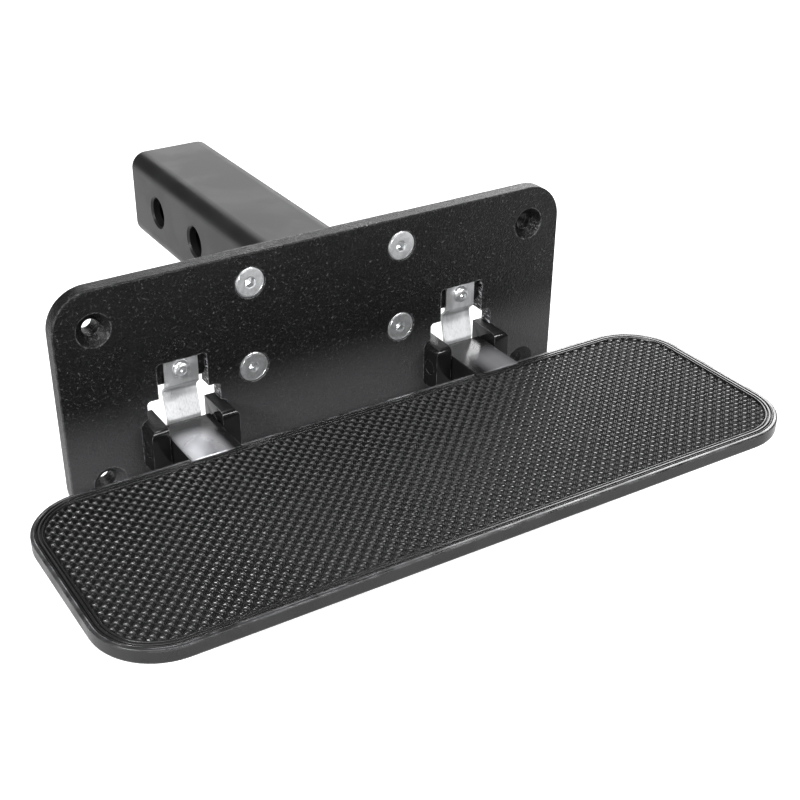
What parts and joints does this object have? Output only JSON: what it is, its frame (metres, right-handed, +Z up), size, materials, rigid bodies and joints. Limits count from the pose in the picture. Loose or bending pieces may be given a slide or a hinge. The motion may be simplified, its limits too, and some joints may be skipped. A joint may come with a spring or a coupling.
{
  "type": "tailgate step",
  "caption": "Folding tailgate step: a wide rubber-topped board hinged to a steel back plate on a square hitch tube, held by two leaf springs.",
  "frame": {"origin": "on the back plate's front face, midway between its four corner holes", "axes": "+X across the vehicle to the viewer's right, +Y forward along the hitch tube into the receiver, +Z up; the step board lies on the -Y side"},
  "size_m": [0.365, 0.3475, 0.124],
  "materials": {
    "plate_coat": "black textured powder coat, semi-gloss",
    "tube_paint": "smooth satin black paint",
    "hinge_paint": "gloss black paint",
    "tray_paint": "satin black paint",
    "tread_rubber": "moulded matt rubber, with small raised knobs on the tread",
    "bright_screw": "bright zinc plate",
    "spring_steel": "cold-rolled zinc-plated strip",
    "zinc": "dull zinc plate"
  },
  "bodies": {
    "bracket": {"back_plate": "plate_coat", "corner_bosses": "plate_coat", "hitch_tube": "tube_paint", "tube_plug": "tread_rubber", "tube_flange": "tube_paint", "tube_weld": "tube_paint", "flange_screws": "bright_screw", "flange_washers": "zinc", "flange_nuts": "zinc", "ear_left_outer": "hinge_paint", "ear_left_inner": "hinge_paint", "ear_right_inner": "hinge_paint", "ear_right_outer": "hinge_paint", "ear_welds": "hinge_paint", "hinge_pin_left": "hinge_paint", "hinge_pin_right": "hinge_paint", "spring_block_left": "plate_coat", "spring_block_right": "plate_coat", "spring_strip_left": "spring_steel", "spring_strip_right": "spring_steel", "spring_screws": "bright_screw"},
    "step": {"step_tray": "tray_paint", "tread_pad": "tread_rubber", "hinge_arm_left": "hinge_paint", "hinge_arm_right": "hinge_paint", "arm_screws": "zinc"}
  },
  "joints": [
    {"name": "step_fold", "type": "hinge", "parent": "bracket", "child": "step", "pos_m": [0, -0.0055, -0.0255], "axis": [-1, 0, 0], "range_deg": [0, 85]}
  ]
}
